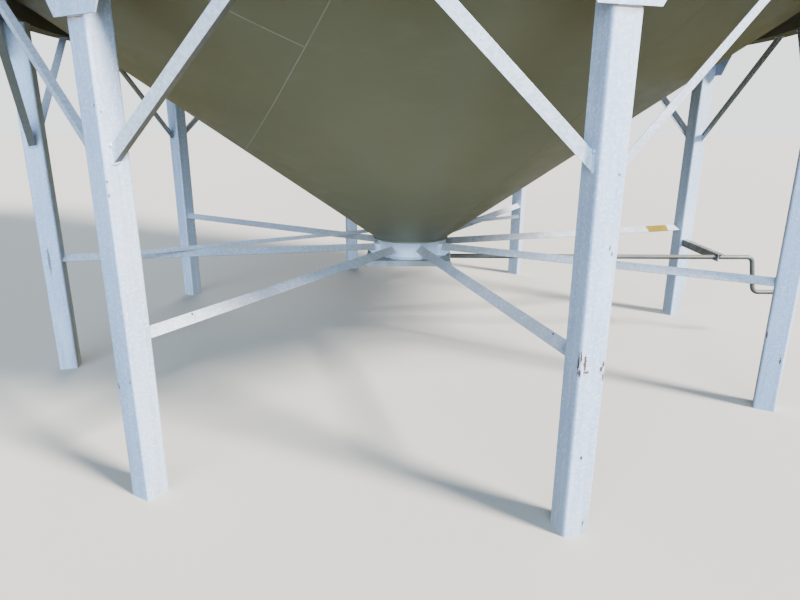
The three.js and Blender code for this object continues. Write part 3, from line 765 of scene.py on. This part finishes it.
# Each spot's tie, how far out it is, on which flange, how far below the heel, and a stain's half size.
TIE_DOTS = [(6, 1.714, 1, 0.0205), (6, 1.523, 1, 0.019), (6, 1.419, 1, 0.0127), (6, 0.938, 1, 0.0187),
            (7, 0.961, -1, 0.0255), (7, 1.503, -1, 0.0198), (7, 1.695, -1, 0.0184)]
TIE_STAINS = [(6, 1.850, 1, 0.0076, 0.006), (7, 1.927, -1, 0.0064, 0.005), (6, 1.842, 1, 0.016, 0.003)]
TIE_ZINC = zinc("tie_zinc", [tie_mark(*spot) for spot in TIE_DOTS], [tie_mark(*spot) for spot in TIE_STAINS])
# tie_1's zinc is darkened by half: painted shade.
TIE_1_PAINTED_SHADE_ZINC = zinc("tie_1_painted_shade_zinc", darkening=0.5)
for index, heels in enumerate(TIE_HEELS):
    name = f"tie_{index + 1}"
    start, along, right, left = tie_line(heels)
    tie = ([], [])
    at_collar = (Vector((TIE_INNER, 0, 0)), Vector((1, 0, 0)))
    at_leg = (Vector((LEG_INNER - FIT, 0, 0)), Vector((1, 0, 0)))
    section = angle_iron(TIE_FLANGE, TIE_FLANGE, TIE_PLATE)
    low_end, high_end = bar(tie, section, start, right, left, at_collar, at_leg)
    set_piece(name + "_angle", tie, TIE_ZINC if index else TIE_1_PAINTED_SHADE_ZINC, stands_for=[name],
              move=leg_frame(index))
    welds = ([], [])
    bead(welds, high_end, Vector((-1, 0, 0)), width=0.012, height=0.004, pitch=0.004, loop=True)
    lug_top = heels[0] - TIE_PLATE * math.sqrt(2) - LUG_PLATE / 2
    for side in (-1, 1):
        bead(welds, [(x, side * LUG_PLATE / 2, lug_top) for x in (TIE_INNER + 0.003, LUG_END)],
             Vector((0, side, -0.4)).normalized(), width=0.006, height=0.003, pitch=0.004)
    set_piece(name + "_welds", welds, WELD_PAINT, crease=60, move=leg_frame(index))

# Tape: one turn of yellow cloth tape that marks the tie beside the rod bracket's leg.
# It was pulled on by hand, so its two edges aren't quite square.
TAPE_FROM = 1.940
TAPE_TO = 2.032
TAPE_THICK = 0.0006


def yellow_tape():
    coat = Coat("yellow_tape", specular=0.2)
    weave = coat.cloud(420, 2)
    worn = coat.cloud(60, 6, 0.7)
    faded = coat.mix(coat.grade(coat.cloud(9), 0.4, 0.65), tone(106, 90, 0), tone(120, 102, 2))
    grubby = coat.mix(coat.grade(worn, 0.55, 0.72, 0, 0.5), faded, tone(88, 74, 24))
    relief = coat.calc("ADD", weave, worn)
    return coat.finish(grubby, coat.grade(weave, 0.3, 0.7, 0.6, 0.75), relief, depth=0.0002)


YELLOW_TAPE = yellow_tape()
start, along, right, left = tie_line(TIE_HEELS[0])
out, inner = -TAPE_THICK, TIE_PLATE + TAPE_THICK
reach = TIE_FLANGE + TAPE_THICK
wrap = rounded([(out, out), (reach, out), (reach, inner), (inner, inner), (inner, reach), (out, reach)],
               [0.0012, 0.001, 0.002, 0.004, 0.002, 0.001])
tape = ([], [])
bar(tape, wrap, start, right, left, (Vector((TAPE_FROM, 0, 0)), Vector((1, 0.12, 0.2)).normalized()),
    (Vector((TAPE_TO, 0, 0)), Vector((1, -0.05, 0.08)).normalized()))
set_piece("tie_1_tape", tape, YELLOW_TAPE, move=leg_frame(0))

# Crank rod: 1 in pipe from the gate's lug out past the legs, bent down and out again as a hand crank.
# It is bare and weathered. An angle from leg 1, with a hole for the rod in its web, carries it.
ROD_RADIUS = 0.015
ROD_HEIGHT = 0.570
ROD_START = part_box("crank_rod")[0].x
ROD_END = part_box("crank_rod")[1].x
ROD_HANDLE = 0.329
ROD_SIDES = 24
ROD_END_ROUND = 0.004
ROD_CHAMFER = 0.0015
BEND_STEPS = 14
ROD_UPPER_BEND = [(2.246, 0.570), (2.286, 0.570), (2.292, 0.530)]
ROD_LOWER_BEND = [(2.320, 0.371), (2.327, 0.329), (2.370, 0.329)]


def rod_steel():
    coat = Coat("rod_steel", metallic=0.2)
    grain = coat.cloud(150, 3)
    patches = coat.cloud(13, 7, 0.66, coat.stretched(0.3, 1, 1))
    base = coat.mix(coat.grade(coat.cloud(5.5), 0.4, 0.62), tone(84, 85, 82), tone(98, 99, 96))
    aged = coat.mix(coat.grade(patches, 0.46, 0.66, 0, 0.75), base, tone(92, 84, 70))
    rusty = coat.mix(coat.grade(patches, 0.64, 0.74, 0, 0.8), aged, tone(92, 66, 46))
    relief = coat.calc("ADD", grain, patches)
    return coat.finish(rusty, coat.grade(grain, 0.3, 0.7, 0.4, 0.62), relief, depth=0.0002)


def bend(from_point, by, to):
    """A smooth turn between two straight runs, as points in the rod's upright plane."""
    a, b, c = Vector(from_point), Vector(by), Vector(to)
    shares = [step / BEND_STEPS for step in range(BEND_STEPS + 1)]
    return [a.lerp(b, t).lerp(b.lerp(c, t), t) for t in shares]


def heading(route, i):
    """The direction of a line of points at one of them, from the points on either side."""
    return (route[min(i + 1, len(route) - 1)] - route[max(i - 1, 0)]).normalized()


def rod_ring(x, z, along, size):
    """A ring of points round the rod. along is its direction in X and Z, size its share of the radius."""
    return [Vector((x - along.y * ROD_RADIUS * size * c, ROD_RADIUS * size * s,
                    z + along.x * ROD_RADIUS * size * c)) for c, s in circle(ROD_SIDES)]


ROD_STEEL = rod_steel()
route = [Vector((ROD_START, ROD_HEIGHT))] + bend(*ROD_UPPER_BEND) + bend(*ROD_LOWER_BEND)
route.append(Vector((ROD_END - ROD_END_ROUND, ROD_HANDLE)))
rings = []
for i, here in enumerate(route):
    along = heading(route, i)
    ease = along * (0.0 if i else ROD_CHAMFER)
    if i == 0:
        rings.append(rod_ring(here.x, here.y, along, 0.8))
    rings.append(rod_ring(here.x + ease.x, here.y + ease.y, along, 1.0))
for out, size in ((0.0025, 0.9), (ROD_END_ROUND, 0.66)):
    rings.append(rod_ring(ROD_END - ROD_END_ROUND + out, ROD_HANDLE, Vector((1, 0)), size))
rod = ([], [])
skin(rod, rings)
set_piece("crank_rod_pipe", rod, ROD_STEEL, body="crank", stands_for=["crank_rod"], crease=40)


def ease_node(name, coat, width):
    """Gives a solid that is right as it stands its finish, and takes the sharpness off its edges."""
    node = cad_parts[name]
    node.data.materials.clear()
    node.data.materials.append(coat)
    weld = node.modifiers.new("one skin", "WELD")
    weld.merge_threshold = 1e-5
    eased = node.modifiers.new("eased edges", "BEVEL")
    eased.width = width
    eased.segments = 2
    eased.limit_method = "ANGLE"
    eased.angle_limit = math.radians(40)


# The bracket's zinc is darkened in soft patches, by 0.8.
ease_node("rod_bracket", zinc("bracket_zinc", darkening=0.8), 0.0007)

# Loose bar: a length of 1 in angle that somebody has laid across four of the ties.
# It is galvanised and is not fixed to anything.
ease_node("loose_bar", ZINC, 0.0005)

# Shell: three tiers of rolled plate, each 5 ft high, welded to each other and to the ring beam.
# Upright seams are staggered from tier to tier. It has the cone's paint.
SHELL_OUTER = 2.1366
SHELL_PLATE = 0.006
SHELL_SEAMS = 3
for tier in (1, 2, 3):
    low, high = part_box(f"shell_tier_{tier}")
    wall = ([], [])
    turned(wall, rectangle((SHELL_OUTER - SHELL_PLATE, low.z), (SHELL_OUTER, high.z), [0.0006] * 4))
    set_piece(f"shell_tier_{tier}_plates", wall, BIN_PAINT, stands_for=[f"shell_tier_{tier}"])
    welds = ([], [])
    for seam in range(SHELL_SEAMS):
        turn = CLOSING_TURN + math.tau * (seam + tier / 2) / SHELL_SEAMS
        bead(welds, [around(turn, SHELL_OUTER, z) for z in (low.z + 0.004, high.z - 0.004)],
             around(turn, 1, 0), width=0.010, height=0.002, pitch=0.007)
    bead(welds, hoop(SHELL_OUTER, low.z), leaning(1, 0.7 if tier == 1 else 0.0),
         width=0.012, height=0.003, pitch=0.01, loop=True)
    set_piece(f"shell_tier_{tier}_welds", welds, SEAM_PAINT, crease=60)

# Roof: a 35 degree cone of flat-cut sectors welded edge to edge, with a short neck at its mouth.
# Its edge stands a little past the shell to shed water.
ROOF_EAVE = 2.166
ROOF_MOUTH = 0.300
ROOF_PLATE = 0.0073
ROOF_SECTORS = 8
NECK_PLATE = 0.006
NECK_BELOW = 0.014
NECK_HEIGHT = 0.110
roof_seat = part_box("shell_tier_3")[1].z + FIT


def roof_height(radius):
    return roof_seat + (SHELL_OUTER - radius) * CONE_SLOPE


def over_roof(point):
    return away(point) * math.sin(CONE_LEAN) + Vector((0, 0, math.cos(CONE_LEAN)))


roof = ([], [])
mouth_z, eave_z = roof_height(ROOF_MOUTH), roof_height(ROOF_EAVE)
turned(roof, rounded([(ROOF_MOUTH, mouth_z), (ROOF_EAVE, eave_z), (ROOF_EAVE, eave_z + ROOF_PLATE),
                      (ROOF_MOUTH, mouth_z + ROOF_PLATE)], [0.0008, 0.0015, 0.003, 0.0008], steps=2))
neck_outer = ROOF_MOUTH + 0.002
neck_low = mouth_z - NECK_BELOW
neck_top = neck_low + NECK_HEIGHT
turned(roof, rectangle((neck_outer - NECK_PLATE, neck_low), (neck_outer, neck_top), [0.001] * 4), steps=128)
set_piece("roof_sectors", roof, BIN_PAINT, stands_for=["roof"])
roof_welds = ([], [])
for sector in range(ROOF_SECTORS):
    turn = LEG_TURN + math.tau * sector / ROOF_SECTORS
    bead(roof_welds, [around(turn, r, roof_height(r) + ROOF_PLATE) for r in (neck_outer, ROOF_EAVE - 0.006)],
         over_roof, width=0.010, height=0.002, pitch=0.007)
bead(roof_welds, hoop(neck_outer + 0.001, roof_height(neck_outer) + ROOF_PLATE + 0.001), over_roof,
     width=0.010, height=0.004, pitch=0.007, loop=True)
bead(roof_welds, hoop(SHELL_OUTER + 0.001, roof_height(SHELL_OUTER) - 0.001), leaning(1, -1),
     width=0.010, height=0.004, pitch=0.01, loop=True)
set_piece("roof_welds", roof_welds, SEAM_PAINT, crease=60)

# Lid: a spun galvanised cap that drops over the neck, lifted by a bent handle near its edge.
# Its skirt's edge is rolled.
LID_LOW, LID_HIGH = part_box("roof_lid")
LID_PLATE = 0.006
LID_INNER = neck_outer + 0.006
LID_OUTER = LID_INNER + LID_PLATE
lid_under = neck_top + FIT
lid = ([], [])
lid_profile = rounded([(0.0005, lid_under), (0.0005, LID_HIGH.z), (LID_OUTER, lid_under + LID_PLATE),
                       (LID_OUTER, LID_LOW.z), (LID_INNER, LID_LOW.z), (LID_INNER, lid_under)],
                      [0.0002, 0.0002, 0.012, 0.0025, 0.0025, 0.001], steps=4)
turned(lid, lid_profile, steps=128)
set_piece("roof_lid_cap", lid, ZINC, stands_for=["roof_lid"])
HANDLE_RADIUS = 0.005
HANDLE_HALF = 0.055
HANDLE_AT = 0.235
HANDLE_RISE = 0.020
HANDLE_STEPS = 24
HANDLE_SIDES = 10
lid_slope = (LID_HIGH.z - lid_under - LID_PLATE) / LID_OUTER
handle_foot = LID_HIGH.z - HANDLE_AT * lid_slope
route = []
for step in range(HANDLE_STEPS + 1):
    turn = math.pi * step / HANDLE_STEPS
    rise = HANDLE_RISE * math.sin(turn) ** 0.5
    route.append(Vector((0, -HANDLE_HALF * math.cos(turn), handle_foot + rise)))
rings = []
for i, here in enumerate(route):
    over = heading(route, i).cross(Vector((1, 0, 0)))
    centre = here + Vector((-HANDLE_AT, 0, 0))
    rings.append([centre + Vector((HANDLE_RADIUS * c, 0, 0)) + over * (HANDLE_RADIUS * s)
                  for c, s in circle(HANDLE_SIDES)])
handle = ([], [])
skin(handle, rings)
set_piece("roof_lid_handle", handle, ZINC, crease=50)

# Floor, light and camera. A pale floor, a low sun from the front right, a broad cool fill from behind
# the camera, a weak light from the back, and a dark olive light from below.
FLOOR_HALF = 60.0
floor_mesh = bpy.data.meshes.new("floor")
floor_corners = [(x * FLOOR_HALF, y * FLOOR_HALF, 0) for x, y in ((-1, -1), (1, -1), (1, 1), (-1, 1))]
floor_mesh.from_pydata(floor_corners, [], [(0, 1, 2, 3)])
floor = bpy.data.objects.new("floor", floor_mesh)
bpy.context.scene.collection.objects.link(floor)
floor_coat = bpy.data.materials.new("floor")
floor_coat.use_nodes = True
floor_shader = floor_coat.node_tree.nodes["Principled BSDF"]
floor_shader.inputs["Base Color"].default_value = tone(176, 171, 162)
floor_shader.inputs["Roughness"].default_value = 0.9
floor_mesh.materials.append(floor_coat)
floor.visible_diffuse = False
floor.visible_glossy = False

SKY_STRENGTH = 1.35
BACKDROP_STRENGTH = 2.2
BRIGHTEST = (-0.34, -0.92, 0.20)
world = bpy.data.worlds.new("studio")
bpy.context.scene.world = world
world.use_nodes = True
sky = world.node_tree
direction = add_node(sky, "TexCoord", "Generated", {})
front = add_node(sky, "VectorMath", "Value", {0: direction, 1: BRIGHTEST}, operation="DOT_PRODUCT")
cool = add_node(sky, "MapRange", 0, {"Value": front, "From Min": -0.1, "From Max": 0.9})
upper = add_node(sky, "Mix", 2, {0: cool, 6: tone(110, 112, 115), 7: tone(176, 196, 224)}, data_type="RGBA")
upward = add_node(sky, "SeparateXYZ", "Z", {0: direction})
above = add_node(sky, "MapRange", 0, {"Value": upward, "From Min": -0.04, "From Max": 0.04})
light_on_part = add_node(sky, "Mix", 2, {0: above, 6: tone(130, 125, 93), 7: upper}, data_type="RGBA")
lit = sky.nodes["Background"]
sky.links.new(light_on_part, lit.inputs["Color"])
lit.inputs["Strength"].default_value = SKY_STRENGTH
backdrop = add_node(sky, "Background", 0, {"Color": tone(236, 238, 241), "Strength": BACKDROP_STRENGTH})
seen = add_node(sky, "LightPath", "Is Camera Ray", {})
shown = add_node(sky, "MixShader", 0, {0: seen, 1: lit.outputs[0], 2: backdrop})
sky.links.new(shown, sky.nodes["World Output"].inputs["Surface"])

# Each light's name, the way it shines, its strength, its angular size in degrees and its colour.
LIGHTS = [("key", (-0.85, 0.52, -0.82), 16.0, 12, (1.0, 0.97, 0.93)),
          ("fill", (0.14, 0.94, -0.30), 6.8, 64, (0.53, 0.75, 1.0)),
          ("back", (0.10, -0.78, -0.62), 2.4, 40, (0.90, 0.95, 1.0))]
for name, travel, energy, angle, colour in LIGHTS:
    lamp = bpy.data.lights.new(name, "SUN")
    lamp.energy = energy
    lamp.angle = math.radians(angle)
    lamp.color = colour
    light = bpy.data.objects.new(name, lamp)
    light.rotation_euler = Vector(travel).to_track_quat("-Z", "Y").to_euler()
    bpy.context.scene.collection.objects.link(light)

PHOTO_LENS = 27.214
CAMERA_PLACE = Vector((-0.0665, -3.9604, 1.4298))
CAMERA_PITCH = math.radians(16.452)
CAMERA_ROLL = math.radians(-0.269)
camera = bpy.data.cameras.new("camera")
camera.sensor_width = 36.0
camera.lens = PHOTO_LENS
camera.clip_start = 0.05
camera.clip_end = 200.0
eye = bpy.data.objects.new("camera", camera)
bpy.context.scene.collection.objects.link(eye)
look = Vector((0, math.cos(CAMERA_PITCH), -math.sin(CAMERA_PITCH)))
sideways = Vector((1, 0, 0))
right = math.cos(CAMERA_ROLL) * sideways + math.sin(CAMERA_ROLL) * look.cross(sideways)
up = right.cross(look)
eye.matrix_world = Matrix((right, up, -look)).transposed().to_4x4()
eye.location = CAMERA_PLACE
bpy.context.scene.camera = eye
